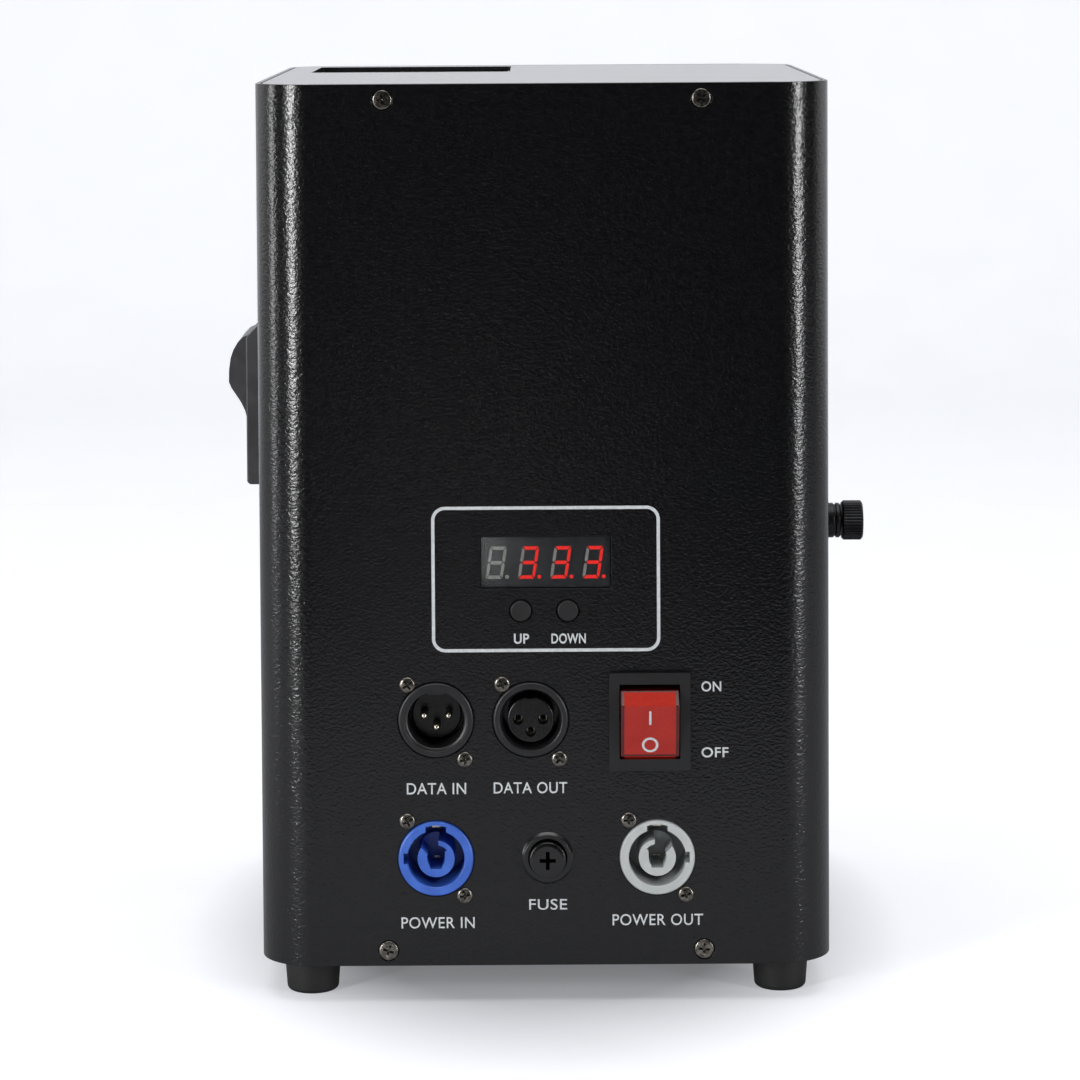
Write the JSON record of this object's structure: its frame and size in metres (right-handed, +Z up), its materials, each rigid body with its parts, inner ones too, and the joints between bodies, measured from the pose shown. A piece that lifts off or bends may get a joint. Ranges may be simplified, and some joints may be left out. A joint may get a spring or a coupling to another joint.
{
  "type": "stage flame machine",
  "caption": "Black sheet-metal stage flame machine: case with flame outlet, fuel door, latch, rubber feet, and a panel of sockets, switch, fuse, display and buttons.",
  "frame": {"origin": "on the floor under the middle of the case", "axes": "+X to the right of the connector face, -Y out of the connector face, +Z up"},
  "size_m": [0.2164, 0.2128, 0.298],
  "materials": {
    "powder_coat": "fine-textured black powder coat on bent steel sheet",
    "bare_plate": "zinc-plated steel sheet",
    "foot_rubber": "moulded black rubber",
    "screw_nickel": "nickel-plated steel",
    "socket_black": "black glass-filled nylon, moulded",
    "contact_metal": "silver-plated brass",
    "inlet_blue": "blue moulded nylon",
    "outlet_grey": "light grey moulded nylon",
    "fuse_black": "black thermoset, moulded",
    "fuse_glass": "glass tube fuse",
    "switch_black": "black nylon, moulded",
    "rocker_red": "red polycarbonate, moulded, glossy",
    "window_smoke": "smoked acrylic window",
    "display_black": "black display housing",
    "board_green": "glass-epoxy circuit board",
    "button_black": "black moulded button",
    "latch_black": "black glass-filled nylon, moulded",
    "steel_pin": "turned steel",
    "knob_black": "black knurled and anodised",
    "can_tin": "drawn tinplate can",
    "valve_white": "white acetal",
    "coil_dark": "painted coil frame",
    "ignition_black": "potted black module",
    "duct_steel": "heat-stained steel sheet",
    "ceramic": "glazed alumina"
  },
  "bodies": {
    "case": {"case_shell": "powder_coat", "top_plate": "powder_coat", "base_plate": "powder_coat", "front_panel": "powder_coat", "door_frame": "bare_plate", "hinge_case_leaf": "bare_plate", "can_cradle": "bare_plate", "can_clip": "bare_plate", "lever_bracket": "bare_plate", "electronics_tray": "bare_plate", "power_supply": "bare_plate", "firewall": "bare_plate", "foot_near_left": "foot_rubber", "foot_near_right": "foot_rubber", "foot_far_left": "foot_rubber", "foot_far_right": "foot_rubber", "case_screw_upper_left": "screw_nickel", "case_screw_upper_right": "screw_nickel", "case_screw_lower_left": "screw_nickel", "case_screw_lower_right": "screw_nickel", "data_in_socket": "socket_black", "data_in_insert": "socket_black", "data_out_socket": "socket_black", "data_out_insert": "socket_black", "data_in_pins": "contact_metal", "power_in_socket": "inlet_blue", "power_out_socket": "outlet_grey", "fuse_holder": "fuse_black", "switch_housing": "switch_black", "display_window": "window_smoke", "display_module": "display_black", "control_board": "board_green", "hinge_pin": "steel_pin", "lever_pin": "steel_pin", "tray_nut": "steel_pin", "electrode_left": "steel_pin", "electrode_right": "steel_pin", "screw_ferrule": "knob_black", "fuel_can": "can_tin", "solenoid": "coil_dark", "ignition_module": "ignition_black", "flame_duct": "duct_steel", "insulator_left": "ceramic", "insulator_right": "ceramic"},
    "switch_rocker": {"switch_rocker": "rocker_red"},
    "up_button": {"up_button": "button_black"},
    "down_button": {"down_button": "button_black"},
    "fuse": {"fuse": "fuse_glass"},
    "fuse_cap": {"fuse_cap": "fuse_black"},
    "door": {"fuel_door": "powder_coat", "hinge_door_leaf": "bare_plate", "latch_frame": "latch_black", "latch_pin": "steel_pin"},
    "latch_paddle": {"latch_paddle": "latch_black"},
    "latch_bolt": {"latch_bolt": "steel_pin"},
    "screw_slide": {"thumbscrew_clip": "steel_pin"},
    "thumbscrew": {"thumbscrew": "knob_black"},
    "press_lever": {"press_lever": "steel_pin"},
    "can_valve": {"can_valve": "valve_white"},
    "solenoid_plunger": {"solenoid_plunger": "steel_pin"}
  },
  "joints": [
    {"name": "power_switch", "type": "hinge", "parent": "case", "child": "switch_rocker", "pos_m": [0.03375, -0.099, 0.0918], "axis": [-1, 0, 0], "range_deg": [0, 32]},
    {"name": "up_press", "type": "slide", "parent": "case", "child": "up_button", "axis": [0, 1, 0], "range_m": [0, 0.0005], "stiffness_N_per_m": 300, "springref_m": -0.0005},
    {"name": "down_press", "type": "slide", "parent": "case", "child": "down_button", "axis": [0, 1, 0], "range_m": [0, 0.0005], "stiffness_N_per_m": 300, "springref_m": -0.0005},
    {"name": "fuse_pull", "type": "slide", "parent": "case", "child": "fuse", "axis": [0, -1, 0], "range_m": [0, 0.04]},
    {"name": "fuse_cap_turn", "type": "hinge", "parent": "fuse", "child": "fuse_cap", "pos_m": [0.00055, -0.1025, 0.0472], "axis": [0, 1, 0], "range_deg": [0, 60]},
    {"name": "door_swing", "type": "hinge", "parent": "case", "child": "door", "pos_m": [-0.0958, 0.0748, 0.146], "axis": [0, 0, -1], "range_deg": [0, 110]},
    {"name": "latch_lift", "type": "hinge", "parent": "door", "child": "latch_paddle", "pos_m": [-0.0988, 0, 0.206], "axis": [0, 1, 0], "range_deg": [0, 35], "stiffness_Nm_per_rad": 0.02, "springref_deg": -17.19},
    {"name": "bolt_slide", "type": "slide", "parent": "door", "child": "latch_bolt", "axis": [0, 1, 0], "range_m": [0, 0.0041]},
    {"name": "screw_turn", "type": "hinge", "parent": "screw_slide", "child": "thumbscrew", "pos_m": [0.093, -0.0381, 0.1467], "axis": [1, 0, 0], "range_deg": [0, 2885]},
    {"name": "screw_travel", "type": "slide", "parent": "case", "child": "screw_slide", "axis": [1, 0, 0], "range_m": [0, 0.0064]},
    {"name": "valve_press", "type": "hinge", "parent": "case", "child": "press_lever", "pos_m": [-0.0461, 0.02, 0.207], "axis": [-1, 0, 0], "range_deg": [0, 4], "stiffness_Nm_per_rad": 0.4, "springref_deg": -5.73},
    {"name": "valve_travel", "type": "slide", "parent": "case", "child": "can_valve", "axis": [0, 0, -1], "range_m": [0, 0.0026]},
    {"name": "plunger_travel", "type": "slide", "parent": "case", "child": "solenoid_plunger", "axis": [0, 0, 1], "range_m": [0, 0.0021]}
  ],
  "couplings": [
    {"joint": "bolt_slide", "follows": "latch_lift", "m_per_rad": 0.0065},
    {"joint": "screw_turn", "follows": "screw_travel", "rad_per_m": 7854},
    {"joint": "valve_travel", "follows": "valve_press", "m_per_rad": 0.035},
    {"joint": "plunger_travel", "follows": "valve_press", "m_per_rad": 0.028}
  ]
}
